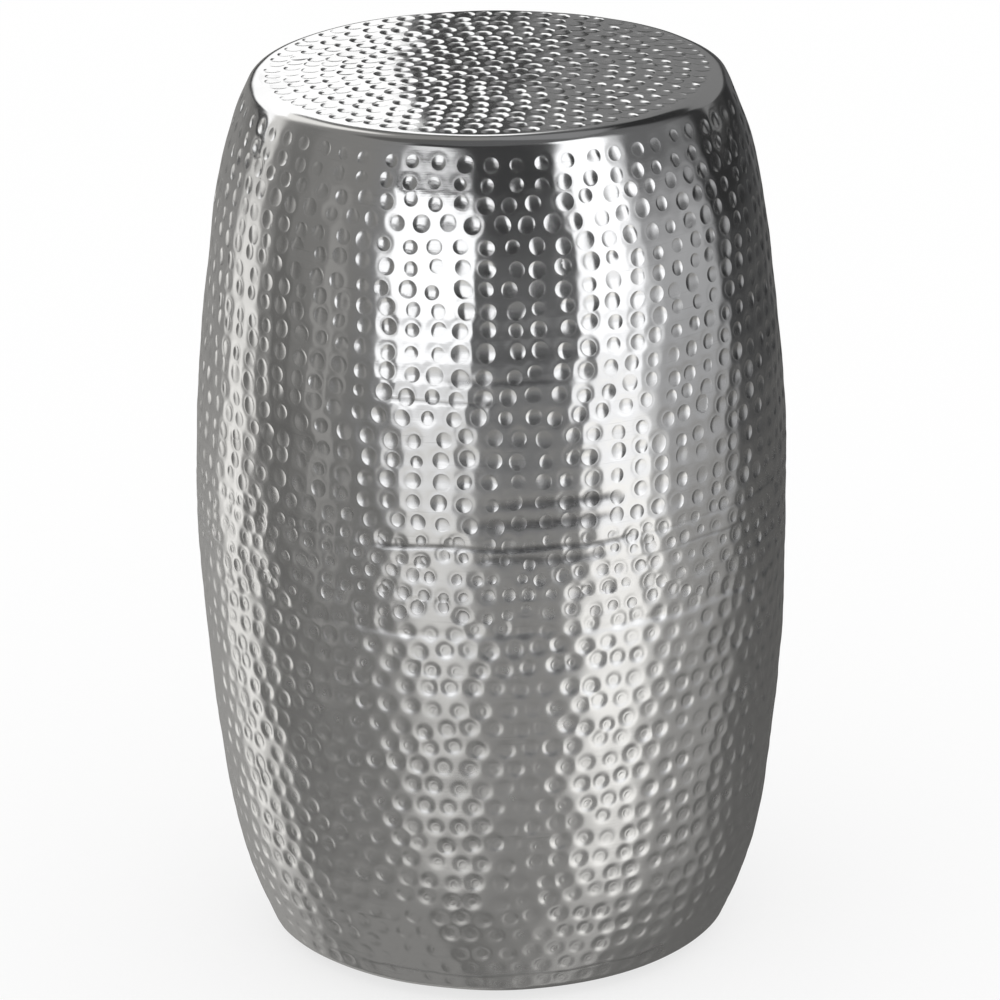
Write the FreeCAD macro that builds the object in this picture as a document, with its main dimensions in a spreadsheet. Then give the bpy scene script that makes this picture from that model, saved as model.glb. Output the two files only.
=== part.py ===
import FreeCAD, Part
import math
import os
import Sketcher

# Drum side table: two spun aluminium cups, welded rim to rim over an inner hoop, on four screwed rubber feet.
# Millimetres, +Z up. The origin is the point of the floor under the middle of the drum.

# Driving dimensions: name, value and what it measures.
SIZES = (
    ("shell_height", 474.0, "welded drum, from base to top"),
    ("belly_radius", 158.0, "outside of the drum at the seam"),
    ("shoulder_inset", 12.5, "from the belly radius in to where the belly curve meets the shoulder curve"),
    ("shoulder_drop", 71.0, "depth of that place below the top, and its height above the base"),
    ("flat_inset", 40.0, "from the belly radius in to the edge of the flat top, and of the flat base"),
    ("corner_radius", 8.5, "outside of the rounded corner at top and base"),
    ("sheet_thickness", 2.0, "wall, top and base"),
    ("weld_gap", 2.4, "root gap between the two rims, which the weld fills"),
    ("band_height", 30.0, "hoop behind the seam"),
    ("band_thickness", 2.0, "hoop behind the seam"),
    ("band_clearance", 0.2, "between the hoop and the wall"),
    ("band_end_gap", 3.0, "between the two ends of the rolled hoop"),
    ("vent_radius", 4.0, "vent hole in the middle of the base"),
    ("foot_count", 4, "feet, and so washers and screws"),
    ("foot_first_angle", 45.0, "degrees from +X to the first foot"),
    ("foot_circle_radius", 86.0, "from the middle of the base to the middle of a foot"),
    ("foot_height", 6.0, "from the floor to the base"),
    ("foot_radius", 11.0, "outside of a foot"),
    ("foot_rounding", 1.5, "lower edge of a foot"),
    ("well_radius", 5.3, "well for washer and screw head in the underside of a foot"),
    ("well_spare_depth", 0.6, "from the floor up to the screw head"),
    ("washer_radius", 4.6, "outside of a washer"),
    ("washer_thickness", 1.0, "washer"),
    ("head_radius", 3.8, "pan head of a screw"),
    ("head_height", 2.4, "pan head of a screw"),
    ("head_rounding", 1.2, "edge of the pan head"),
    ("cross_length", 4.4, "each slot of the cross in the head"),
    ("cross_width", 0.9, "each slot of the cross in the head"),
    ("cross_depth", 1.3, "cross in the head"),
    ("shank_radius", 2.1, "screw"),
    ("shank_clearance", 0.25, "between the screw and the bore of foot and washer"),
    ("thread_clearance", 0.05, "between the screw and its hole in the base"),
    ("screw_length", 9.5, "screw, under the head"),
    ("point_length", 2.5, "tapered end of the screw"),
    ("point_radius", 0.5, "blunt tip of the screw"),
)

# Lengths worked out from the sheet, as expressions that several sub-parts use.
HALF_HEIGHT = "Sizes.shell_height / 2"
SHOULDER_RISE = "(Sizes.shell_height / 2 - Sizes.shoulder_drop)"
FLAT_RADIUS = "Sizes.belly_radius - Sizes.flat_inset"
BELLY_ARC_RADIUS = f"(Sizes.shoulder_inset^2 + {SHOULDER_RISE}^2) / (2 * Sizes.shoulder_inset)"
BELLY_ARC_OFFSET = f"{BELLY_ARC_RADIUS} - Sizes.belly_radius"
JOINT_HEIGHT = "Sizes.foot_height + Sizes.shell_height / 2"
WELL_DEPTH = "(Sizes.well_spare_depth + Sizes.head_height + Sizes.washer_thickness)"
UNDER_HEAD = "(Sizes.well_spare_depth + Sizes.head_height)"
FOOT_SPACING = "360 / Sizes.foot_count"

FULL_TURN = 360.0
VOLUME_TOLERANCE = 0.01  # share by which a cut's volume may differ from what it should remove

# Sketcher's own numbers: 0 is a whole edge and 1 to 3 are its points; -1 and -2 are the sketch's axes.
EDGE, START, END, CENTRE = range(4)
VERTICAL_AXIS, HORIZONTAL_AXIS = range(-2, 0)
ORIGIN_POINT = (HORIZONTAL_AXIS, START)

doc = FreeCAD.newDocument("DrumSideTable")
sheet = doc.addObject("Spreadsheet::Sheet", "Sizes")
for row, (name, value, meaning) in enumerate(SIZES, start=1):
    sheet.set(f"A{row}", name)
    sheet.set(f"B{row}", str(value))
    sheet.set(f"C{row}", meaning)
    sheet.setAlias(f"B{row}", name)
doc.recompute()


def length(expression):
    """Value of an expression of the sheet's names, as a plain number."""
    return float(sheet.evalExpression(expression))


class Profile:
    """A sketch on one of a body's origin planes, whose dimensions are bound to the sheet."""

    def __init__(self, body, name, plane):
        self.sketch = body.newObject("Sketcher::SketchObject", name)
        origin_plane = next(part for part in body.Origin.OriginFeatures if part.Role == plane)
        self.sketch.AttachmentSupport = [(origin_plane, "")]
        self.sketch.MapMode = "FlatFace"

    def line(self, start, end):
        return self.sketch.addGeometry(Part.LineSegment(FreeCAD.Vector(*start), FreeCAD.Vector(*end)))

    def arc(self, centre, radius, start_angle, end_angle):
        circle = Part.Circle(FreeCAD.Vector(*centre), FreeCAD.Vector(0, 0, 1), radius)
        return self.sketch.addGeometry(Part.ArcOfCircle(circle, start_angle, end_angle))

    def circle(self, centre, radius):
        return self.sketch.addGeometry(Part.Circle(FreeCAD.Vector(*centre), FreeCAD.Vector(0, 0, 1), radius))

    def fix(self, kind, *places):
        self.sketch.addConstraint(Sketcher.Constraint(kind, *places))

    def size(self, name, expression, kind, *places):
        """A driving dimension that follows the sheet."""
        value = length(expression)
        index = self.sketch.addConstraint(Sketcher.Constraint(kind, *places, value))
        self.sketch.renameConstraint(index, name)
        self.sketch.setExpression(f"Constraints.{name}", expression)

    def polygon(self, points):
        """Closed outline of straight lines; level and upright ones are held so."""
        lines = [self.line(start, end) for start, end in zip(points, points[1:] + points[:1])]
        for index, (start, end) in enumerate(zip(points, points[1:] + points[:1])):
            if math.isclose(start[1], end[1]):
                self.fix("Horizontal", lines[index])
            elif math.isclose(start[0], end[0]):
                self.fix("Vertical", lines[index])
            self.fix("Coincident", lines[index], END, lines[(index + 1) % len(lines)], START)
        return lines


def new_body(name):
    body = doc.addObject("PartDesign::Body", name)
    body.Label = name
    return body


def place(body, x="0", y="0", z="0", turn_axis=(0, 0, 1), turn="0"):
    """Binds a body's place and turn to the sheet."""
    body.Placement = FreeCAD.Placement(
        FreeCAD.Vector(length(x), length(y), length(z)),
        FreeCAD.Rotation(FreeCAD.Vector(*turn_axis), length(turn)),
    )
    for name, expression in (("Base.x", x), ("Base.y", y), ("Base.z", z), ("Rotation.Angle", turn)):
        body.setExpression(f"Placement.{name}", expression)


def revolve(body, profile, axis="V_Axis"):
    feature = body.newObject("PartDesign::Revolution", f"{body.Name}_turned")
    feature.Profile = profile.sketch
    feature.ReferenceAxis = (profile.sketch, [axis])
    feature.Angle = FULL_TURN
    doc.recompute()


def cut(body, name, profile, expected_volume, away=False, depth=None):
    """A pocket through everything, or to a depth, which has to remove the expected volume."""
    before = body.Shape.Volume
    pocket = body.newObject("PartDesign::Pocket", name)
    pocket.Profile = profile.sketch
    pocket.Reversed = away
    if depth is None:
        pocket.Type = "ThroughAll"
    else:
        pocket.Length = length(depth)
        pocket.setExpression("Length", depth)
    doc.recompute()
    removed = before - body.Shape.Volume
    if not math.isclose(removed, expected_volume, rel_tol=VOLUME_TOLERANCE):
        raise RuntimeError(f"{name} removes {removed:.1f} mm3, not {expected_volume:.1f}")
    return pocket


def repeat_round_drum(body, mode, originals=()):
    """Repeats features, or the whole body, once for each foot."""
    pattern = body.newObject("PartDesign::PolarPattern", f"{body.Name}_pattern")
    pattern.TransformMode = mode
    pattern.Originals = list(originals)
    z_axis = next(part for part in body.Origin.OriginFeatures if part.Role == "Z_Axis")
    pattern.Axis = (z_axis, [""])
    pattern.Angle = FULL_TURN
    pattern.Occurrences = int(length("Sizes.foot_count"))
    pattern.setExpression("Occurrences", "Sizes.foot_count")
    body.Tip = pattern
    doc.recompute()


def cup_arcs():
    """Centre, outer radius and end angles of the belly, shoulder and corner arcs, from the joint plane up.

    The belly's centre lies on the joint plane, so the two cups join in one smooth curve. The shoulder arc
    leaves the belly arc and meets the corner arc without a kink, which fixes its centre and radius.
    """
    belly_radius = length(BELLY_ARC_RADIUS)
    belly_centre = FreeCAD.Vector(-length(BELLY_ARC_OFFSET), 0, 0)
    shoulder = FreeCAD.Vector(length("Sizes.belly_radius - Sizes.shoulder_inset"), length(SHOULDER_RISE), 0)
    corner_radius = length("Sizes.corner_radius")
    corner_height = length(f"{HALF_HEIGHT} - Sizes.corner_radius")
    corner_centre = FreeCAD.Vector(length(FLAT_RADIUS), corner_height, 0)

    normal = (shoulder - belly_centre).normalize()
    reach = shoulder - corner_centre
    shoulder_radius = (reach.dot(reach) - corner_radius**2) / (2 * (reach.dot(normal) - corner_radius))
    shoulder_centre = shoulder - normal * shoulder_radius
    to_corner = corner_centre - shoulder_centre
    shoulder_angle = math.atan2(normal.y, normal.x)
    corner_angle = math.atan2(to_corner.y, to_corner.x)
    return (
        (belly_centre, belly_radius, None, shoulder_angle),
        (shoulder_centre, shoulder_radius, shoulder_angle, corner_angle),
        (corner_centre, corner_radius, corner_angle, math.pi / 2),
    )


def cup_wall(profile, inset):
    """Draws one side of the cup's wall, inset from its outside; the belly arc starts at the rim."""
    rim_height = length("Sizes.weld_gap / 2")
    wall = []
    for centre, radius, start_angle, end_angle in cup_arcs():
        if start_angle is None:
            start_angle = math.asin(rim_height / (radius - inset))
        wall.append(profile.arc(centre, radius - inset, start_angle, end_angle))
    return wall


def cup(name):
    """A spun cup with its flat end up and the joint plane at its own z = 0."""
    body = new_body(name)
    profile = Profile(body, f"{name}_profile", "XZ_Plane")
    thickness = length("Sizes.sheet_thickness")
    end = length(HALF_HEIGHT)
    flat = length(FLAT_RADIUS)
    belly, shoulder, corner = cup_wall(profile, 0.0)
    top = profile.line((flat, end), (0, end))
    middle = profile.line((0, end), (0, end - thickness))
    under_top = profile.line((0, end - thickness), (flat, end - thickness))
    inner_belly, inner_shoulder, inner_corner = cup_wall(profile, thickness)
    rim_ends = [profile.sketch.getPoint(arc, START) for arc in (inner_belly, belly)]
    rim = profile.line(*rim_ends)

    profile.fix("Tangent", belly, END, shoulder, START)
    profile.fix("Tangent", shoulder, END, corner, START)
    profile.fix("Tangent", corner, END, top, START)
    profile.fix("Coincident", top, END, middle, START)
    profile.fix("Coincident", middle, END, under_top, START)
    profile.fix("Tangent", under_top, END, inner_corner, END)
    profile.fix("Tangent", inner_corner, START, inner_shoulder, END)
    profile.fix("Tangent", inner_shoulder, START, inner_belly, END)
    profile.fix("Coincident", inner_belly, START, rim, START)
    profile.fix("Coincident", rim, END, belly, START)
    for outer, inner in ((belly, inner_belly), (shoulder, inner_shoulder), (corner, inner_corner)):
        profile.fix("Coincident", outer, CENTRE, inner, CENTRE)
    for level in (top, under_top, rim):
        profile.fix("Horizontal", level)
    profile.fix("Vertical", middle)
    profile.fix("PointOnObject", top, END, VERTICAL_AXIS)
    profile.fix("PointOnObject", belly, CENTRE, HORIZONTAL_AXIS)
    profile.size("belly_offset", BELLY_ARC_OFFSET, "DistanceX", belly, CENTRE, *ORIGIN_POINT)
    profile.size("belly_arc", BELLY_ARC_RADIUS, "Radius", belly)
    profile.size("shoulder_rise", SHOULDER_RISE, "DistanceY", *ORIGIN_POINT, belly, END)
    profile.size("corner_arc", "Sizes.corner_radius", "Radius", corner)
    profile.size("flat_radius", FLAT_RADIUS, "DistanceX", *ORIGIN_POINT, top, START)
    profile.size("end_height", HALF_HEIGHT, "DistanceY", *ORIGIN_POINT, top, END)
    profile.size("thickness", "Sizes.sheet_thickness", "DistanceY", middle, END, middle, START)
    profile.size("rim_height", "Sizes.weld_gap / 2", "DistanceY", *ORIGIN_POINT, rim, END)
    revolve(body, profile)
    return body


def upper_shell():
    """The cup whose flat end is the table top."""
    body = cup("upper_shell")
    place(body, z=JOINT_HEIGHT)
    return body


def lower_shell():
    """The same cup upside down, drilled for the foot screws and the vent.

    Turning it over X mirrors its own Y, so its first screw hole is drawn at minus the first foot's angle.
    """
    body = cup("lower_shell")
    sheet_volume = math.pi * length("Sizes.sheet_thickness")

    screw_hole = Profile(body, "screw_hole_outline", "XY_Plane")
    along = "Sizes.foot_circle_radius * cos(Sizes.foot_first_angle)"
    across = "Sizes.foot_circle_radius * sin(Sizes.foot_first_angle)"
    radius = "Sizes.shank_radius + Sizes.thread_clearance"
    hole = screw_hole.circle((length(along), -length(across)), length(radius))
    screw_hole.size("along", along, "DistanceX", *ORIGIN_POINT, hole, CENTRE)
    screw_hole.size("across", across, "DistanceY", hole, CENTRE, *ORIGIN_POINT)
    screw_hole.size("hole", radius, "Radius", hole)
    first = cut(body, "screw_hole", screw_hole, sheet_volume * length(radius) ** 2, away=True)
    repeat_round_drum(body, "Features", [first])

    vent = Profile(body, "vent_outline", "XY_Plane")
    hole = vent.circle((0, 0), length("Sizes.vent_radius"))
    vent.fix("Coincident", hole, CENTRE, *ORIGIN_POINT)
    vent.size("hole", "Sizes.vent_radius", "Radius", hole)
    cut(body, "vent", vent, sheet_volume * length("Sizes.vent_radius") ** 2, away=True)

    place(body, z=JOINT_HEIGHT, turn_axis=(1, 0, 0), turn="180")
    return body


def seam_weld():
    """Weld metal between the two rims, dressed flush with the wall."""
    body = new_body("seam_weld")
    profile = Profile(body, "weld_profile", "XZ_Plane")
    half_gap = length("Sizes.weld_gap / 2")
    outside = length("Sizes.belly_radius")
    inside = outside - length("Sizes.sheet_thickness")
    below, outer, above, inner = profile.polygon(
        [(inside, -half_gap), (outside, -half_gap), (outside, half_gap), (inside, half_gap)]
    )
    profile.size("gap", "Sizes.weld_gap", "DistanceY", outer, START, outer, END)
    profile.size("upper_half", "Sizes.weld_gap / 2", "DistanceY", *ORIGIN_POINT, outer, END)
    profile.size("outside", "Sizes.belly_radius", "DistanceX", *ORIGIN_POINT, outer, START)
    profile.size("depth", "Sizes.sheet_thickness", "DistanceX", inner, END, outer, START)
    revolve(body, profile)
    place(body, z=JOINT_HEIGHT)
    return body


def joint_band():
    """Rolled hoop behind the seam. It follows the inside of the wall and has a small gap between its ends."""
    body = new_body("joint_band")
    profile = Profile(body, "band_profile", "XZ_Plane")
    half_height = length("Sizes.band_height / 2")
    outer_radius = f"{BELLY_ARC_RADIUS} - Sizes.sheet_thickness - Sizes.band_clearance"
    inner_radius = f"{outer_radius} - Sizes.band_thickness"
    centre = (-length(BELLY_ARC_OFFSET), 0)
    arcs = []
    for radius in (outer_radius, inner_radius):
        reach = math.asin(half_height / length(radius))
        arcs.append(profile.arc(FreeCAD.Vector(*centre), length(radius), -reach, reach))
    outer, inner = arcs
    ends = []
    for side in (START, END):
        ends.append(profile.line(*(profile.sketch.getPoint(arc, side) for arc in (outer, inner))))
        profile.fix("Coincident", ends[-1], START, outer, side)
        profile.fix("Coincident", ends[-1], END, inner, side)
        profile.fix("Horizontal", ends[-1])
    profile.fix("Coincident", outer, CENTRE, inner, CENTRE)
    profile.fix("PointOnObject", outer, CENTRE, HORIZONTAL_AXIS)
    profile.size("offset", BELLY_ARC_OFFSET, "DistanceX", outer, CENTRE, *ORIGIN_POINT)
    profile.size("outer_arc", outer_radius, "Radius", outer)
    profile.size("inner_arc", inner_radius, "Radius", inner)
    for name, line, places in (("lower_end", ends[0], (ends[0], START, *ORIGIN_POINT)),
                               ("upper_end", ends[1], (*ORIGIN_POINT, ends[1], START))):
        profile.size(name, "Sizes.band_height / 2", "DistanceY", *places)
    revolve(body, profile)

    slit = Profile(body, "band_slit_outline", "XZ_Plane")
    right_end = length("Sizes.band_end_gap / 2")
    left_end = -right_end
    below, right, above, left = slit.polygon(
        [(left_end, -half_height), (right_end, -half_height), (right_end, half_height), (left_end, half_height)]
    )
    slit.fix("Symmetric", below, START, above, START, *ORIGIN_POINT)
    slit.size("gap", "Sizes.band_end_gap", "DistanceX", below, START, below, END)
    slit.size("height", "Sizes.band_height", "DistanceY", right, START, right, END)
    volume = length("Sizes.band_end_gap * Sizes.band_height * Sizes.band_thickness")
    cut(body, "band_slit", slit, volume, away=True)
    place(body, z=JOINT_HEIGHT)
    return body


def foot(number):
    """Round rubber foot with a well in its underside for the washer and the screw head."""
    body = new_body(f"foot_{number}")
    profile = Profile(body, f"foot_{number}_profile", "XZ_Plane")
    outside = length("Sizes.foot_radius")
    height = length("Sizes.foot_height")
    rounding = length("Sizes.foot_rounding")
    well = length("Sizes.well_radius")
    well_depth = length(WELL_DEPTH)
    bore_radius = "Sizes.shank_radius + Sizes.shank_clearance"
    bore = length(bore_radius)
    sole = profile.line((well, 0), (outside - rounding, 0))
    edge = profile.arc((outside - rounding, rounding), rounding, -math.pi / 2, 0.0)
    side = profile.line((outside, rounding), (outside, height))
    seat = profile.line((outside, height), (bore, height))
    bore_wall = profile.line((bore, height), (bore, well_depth))
    well_floor = profile.line((bore, well_depth), (well, well_depth))
    well_wall = profile.line((well, well_depth), (well, 0))
    profile.fix("Tangent", sole, END, edge, START)
    profile.fix("Tangent", edge, END, side, START)
    straight = (side, seat, bore_wall, well_floor, well_wall, sole)
    for line, following in zip(straight, straight[1:]):
        profile.fix("Coincident", line, END, following, START)
    for level in (sole, seat, well_floor):
        profile.fix("Horizontal", level)
    for upright in (side, bore_wall, well_wall):
        profile.fix("Vertical", upright)
    profile.fix("PointOnObject", sole, START, HORIZONTAL_AXIS)
    profile.size("outside", "Sizes.foot_radius", "DistanceX", *ORIGIN_POINT, side, START)
    profile.size("height", "Sizes.foot_height", "DistanceY", *ORIGIN_POINT, side, END)
    profile.size("rounding", "Sizes.foot_rounding", "Radius", edge)
    profile.size("bore", bore_radius, "DistanceX", *ORIGIN_POINT, bore_wall, START)
    profile.size("well", "Sizes.well_radius", "DistanceX", *ORIGIN_POINT, well_wall, START)
    profile.size("well_depth", WELL_DEPTH, "DistanceY", *ORIGIN_POINT, well_floor, START)
    revolve(body, profile)
    angle = f"(Sizes.foot_first_angle + {number - 1} * {FOOT_SPACING})"
    place(
        body,
        x=f"Sizes.foot_circle_radius * cos({angle})",
        y=f"Sizes.foot_circle_radius * sin({angle})",
    )
    return body


def fastener_axis(profile, low, high):
    """Upright construction line through the middle of the foot on +X, from one height to another."""
    middle = length("Sizes.foot_circle_radius")
    axis = profile.line((middle, length(low)), (middle, length(high)))
    profile.sketch.setConstruction(axis, True)
    profile.fix("Vertical", axis)
    profile.size("axis_place", "Sizes.foot_circle_radius", "DistanceX", *ORIGIN_POINT, axis, START)
    profile.size("axis_low", low, "DistanceY", *ORIGIN_POINT, axis, START)
    profile.size("axis_high", high, "DistanceY", *ORIGIN_POINT, axis, END)
    return axis


def foot_washers():
    """A washer in the well of each foot, drawn at +X, repeated round the drum and turned to the feet."""
    body = new_body("foot_washers")
    profile = Profile(body, "washer_profile", "XZ_Plane")
    axis = fastener_axis(profile, UNDER_HEAD, WELL_DEPTH)
    middle = length("Sizes.foot_circle_radius")
    hole_radius = "Sizes.shank_radius + Sizes.shank_clearance"
    inside = middle + length(hole_radius)
    outside = middle + length("Sizes.washer_radius")
    low, high = length(UNDER_HEAD), length(WELL_DEPTH)
    below, outer, above, inner = profile.polygon(
        [(inside, low), (outside, low), (outside, high), (inside, high)]
    )
    profile.fix("Horizontal", axis, START, below, START)
    profile.fix("Horizontal", axis, END, above, START)
    profile.size("hole", hole_radius, "DistanceX", axis, START, below, START)
    profile.size("outside", "Sizes.washer_radius", "DistanceX", axis, START, below, END)
    revolve(body, profile, "Axis0")
    repeat_round_drum(body, "Whole shape")
    place(body, turn="Sizes.foot_first_angle")
    return body


def foot_screws():
    """Pan-head self-tapping screws with a cross in the head, placed as the washers are."""
    body = new_body("foot_screws")
    profile = Profile(body, "screw_profile", "XZ_Plane")
    tip_height = f"{UNDER_HEAD} + Sizes.screw_length"
    axis = fastener_axis(profile, "Sizes.well_spare_depth", tip_height)
    middle = length("Sizes.foot_circle_radius")
    rounding = length("Sizes.head_rounding")
    low, under_head, tip = length("Sizes.well_spare_depth"), length(UNDER_HEAD), length(tip_height)
    head = middle + length("Sizes.head_radius")
    shank = middle + length("Sizes.shank_radius")
    point = middle + length("Sizes.point_radius")
    taper_start = tip - length("Sizes.point_length")
    face = profile.line((middle, low), (head - rounding, low))
    edge = profile.arc((head - rounding, low + rounding), rounding, -math.pi / 2, 0.0)
    head_side = profile.line((head, low + rounding), (head, under_head))
    seat = profile.line((head, under_head), (shank, under_head))
    shank_side = profile.line((shank, under_head), (shank, taper_start))
    taper = profile.line((shank, taper_start), (point, tip))
    blunt_tip = profile.line((point, tip), (middle, tip))
    core = profile.line((middle, tip), (middle, low))
    profile.fix("Tangent", face, END, edge, START)
    profile.fix("Tangent", edge, END, head_side, START)
    straight = (head_side, seat, shank_side, taper, blunt_tip, core, face)
    for line, following in zip(straight, straight[1:]):
        profile.fix("Coincident", line, END, following, START)
    for level in (face, seat, blunt_tip):
        profile.fix("Horizontal", level)
    for upright in (head_side, shank_side):
        profile.fix("Vertical", upright)
    profile.fix("Coincident", core, START, axis, END)
    profile.fix("Coincident", core, END, axis, START)
    profile.size("head", "Sizes.head_radius", "DistanceX", axis, START, head_side, START)
    profile.size("head_edge", "Sizes.head_rounding", "Radius", edge)
    profile.size("under_head", UNDER_HEAD, "DistanceY", *ORIGIN_POINT, seat, START)
    profile.size("shank", "Sizes.shank_radius", "DistanceX", axis, START, shank_side, START)
    profile.size("point", "Sizes.point_radius", "DistanceX", axis, END, taper, END)
    profile.size("point_length", "Sizes.point_length", "DistanceY", taper, START, taper, END)
    revolve(body, profile, "Axis0")

    slots = (("slot_along", "Sizes.cross_length", "Sizes.cross_width", length("Sizes.cross_length")),
             ("slot_across", "Sizes.cross_width", "Sizes.cross_length",
              length("Sizes.cross_length - Sizes.cross_width")))
    for name, wide, tall, fresh_length in slots:
        outline = Profile(body, f"{name}_outline", "XY_Plane")
        half_wide, half_tall = length(wide) / 2, length(tall) / 2
        near, right, far, left = outline.polygon(
            [(middle - half_wide, -half_tall), (middle + half_wide, -half_tall),
             (middle + half_wide, half_tall), (middle - half_wide, half_tall)]
        )
        outline.size("wide", wide, "DistanceX", near, START, near, END)
        outline.size("tall", tall, "DistanceY", right, START, right, END)
        outline.size("far_half", f"{tall} / 2", "DistanceY", *ORIGIN_POINT, right, END)
        right_side = f"Sizes.foot_circle_radius + {wide} / 2"
        outline.size("right_side", right_side, "DistanceX", *ORIGIN_POINT, right, START)
        volume = fresh_length * length("Sizes.cross_width * Sizes.cross_depth")
        cut(body, name, outline, volume, away=True, depth="Sizes.well_spare_depth + Sizes.cross_depth")
    repeat_round_drum(body, "Whole shape")
    place(body, turn="Sizes.foot_first_angle")
    return body


feet = [foot(number) for number in range(1, int(length("Sizes.foot_count")) + 1)]
single_pieces = [upper_shell(), lower_shell(), seam_weld(), joint_band(), *feet]
groups = [foot_washers(), foot_screws()]
doc.recompute()

for item in doc.Objects:
    if {"Invalid", "Error"} & set(item.State):
        raise RuntimeError(f"{item.Label} did not compute: {item.State}")
    if item.isDerivedFrom("Sketcher::SketchObject") and not item.FullyConstrained:
        raise RuntimeError(f"{item.Label} is not fully constrained")
for body in single_pieces + groups:
    solids = int(length("Sizes.foot_count")) if body in groups else 1
    if body.Shape.isNull() or not body.Shape.isValid() or len(body.Shape.Solids) != solids:
        raise RuntimeError(f"{body.Label} is not {solids} sound solid(s)")

os.makedirs("parts", exist_ok=True)
for body in single_pieces + groups:
    body.Shape.exportStep(f"parts/{body.Label}.step")
    print(f"{body.Label}: {body.Shape.Volume:.0f} mm3")
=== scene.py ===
"""A hammered aluminium drum side table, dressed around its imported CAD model.

The two shells and the weld between them are built again here with every hammer dent in the mesh.
The joint band, feet, washers and screws stay the CAD solids and get their own materials.
"""

import math

import bpy
import numpy as np
from mathutils import Matrix, Vector


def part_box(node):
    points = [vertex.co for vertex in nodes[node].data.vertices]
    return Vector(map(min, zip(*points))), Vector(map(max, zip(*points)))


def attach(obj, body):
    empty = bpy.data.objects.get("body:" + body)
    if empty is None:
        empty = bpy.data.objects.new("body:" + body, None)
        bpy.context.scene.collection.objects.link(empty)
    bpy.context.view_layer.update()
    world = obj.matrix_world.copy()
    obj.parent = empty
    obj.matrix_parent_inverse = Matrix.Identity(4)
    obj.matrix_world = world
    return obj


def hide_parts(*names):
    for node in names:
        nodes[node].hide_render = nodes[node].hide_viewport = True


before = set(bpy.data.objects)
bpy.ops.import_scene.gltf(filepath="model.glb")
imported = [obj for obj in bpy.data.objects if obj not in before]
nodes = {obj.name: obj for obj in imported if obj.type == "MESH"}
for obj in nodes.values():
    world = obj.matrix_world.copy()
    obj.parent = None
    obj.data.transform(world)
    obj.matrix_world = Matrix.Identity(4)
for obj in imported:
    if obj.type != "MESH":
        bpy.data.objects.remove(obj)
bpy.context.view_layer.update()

MM = 0.001
TURN = 2 * math.pi

# ---- the drum's named sizes, as in part.py
shell_low, shell_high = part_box("lower_shell")[0].z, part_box("upper_shell")[1].z
BELLY_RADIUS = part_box("seam_weld")[1].x
HALF_HEIGHT = (shell_high - shell_low) / 2
MIDDLE = (shell_high + shell_low) / 2
SHOULDER_INSET = 12.5 * MM
SHOULDER_DROP = 71 * MM
FLAT_INSET = 40 * MM
CORNER_RADIUS = 8.5 * MM
SHEET = 2 * MM
WELD_GAP = 2.4 * MM
VENT_RADIUS = 4 * MM

# ---- the mesh
AROUND = 1408           # vertices round a ring of the wall, a multiple of 8
CELL = 0.7 * MM         # the distance between two rings of the wall
PER_COARSE = 8          # vertices of the wall to one of a plain ring
COARSE = AROUND // PER_COARSE
TOP_HALF = AROUND // 8  # rings of the top's square grid: the last has 8 * TOP_HALF points
WELD_RINGS = 5          # rings across the weld
SINK = 0.35 * MM        # how far the sheet stands out between its dents, which sink through the CAD's surface
CALM_WIDTH = 16 * MM    # the ripples fade over this width towards a flat end's rim
CALM_LEAST = 0.25       # to this share


class Outline:
    """The drum's outer half profile, by the arc length from the centre of its top.

    Each arc is (first length, centre radius, centre height over the middle, radius, first angle).
    """

    def __init__(self):
        self.flat = BELLY_RADIUS - FLAT_INSET
        shoulder_height = HALF_HEIGHT - SHOULDER_DROP
        belly = (SHOULDER_INSET**2 + shoulder_height**2) / (2 * SHOULDER_INSET)
        belly_angle = math.asin(shoulder_height / belly)
        normal = np.array([math.cos(belly_angle), math.sin(belly_angle)])
        joint = np.array([BELLY_RADIUS - SHOULDER_INSET, shoulder_height])
        corner = np.array([self.flat, HALF_HEIGHT - CORNER_RADIUS])
        away = joint - corner
        shoulder = (away @ away - CORNER_RADIUS**2) / (2 * (away @ normal - CORNER_RADIUS))
        centre = joint - shoulder * normal
        corner_angle = math.atan2(*(corner - centre)[::-1])
        corner_end = self.flat + CORNER_RADIUS * (math.pi / 2 - corner_angle)
        shoulder_end = corner_end + shoulder * (corner_angle - belly_angle)
        self.corner_end = corner_end
        self.half = shoulder_end + belly * belly_angle
        self.arcs = [
            (self.flat, *corner, CORNER_RADIUS, math.pi / 2),
            (corner_end, *centre, shoulder, corner_angle),
            (shoulder_end, BELLY_RADIUS - belly, 0.0, belly, belly_angle),
        ]

    def at(self, length):
        """Radius, height, and the normal's radial and upward parts, at arc lengths from the top's centre."""
        length = np.asarray(length, float)
        lower = length > self.half
        s = np.where(lower, 2 * self.half - length, length)
        r, z = s.copy(), np.full_like(s, HALF_HEIGHT)
        nr, nz = np.zeros_like(s), np.ones_like(s)
        for first, cr, cz, radius, start in self.arcs:
            here = s >= first
            angle = start - (s - first) / radius
            r = np.where(here, cr + radius * np.cos(angle), r)
            z = np.where(here, cz + radius * np.sin(angle), z)
            nr = np.where(here, np.cos(angle), nr)
            nz = np.where(here, np.sin(angle), nz)
        sign = np.where(lower, -1.0, 1.0)
        return r, MIDDLE + sign * z, nr, sign * nz

    def length_at(self, height):
        """The arc length at a height over the floor, on the wall."""
        lengths = np.linspace(self.corner_end, 2 * self.half - self.corner_end, 4001)
        return float(np.interp(-height, -self.at(lengths)[1], lengths))


outline = Outline()

# ---- the hammer dents

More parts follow.
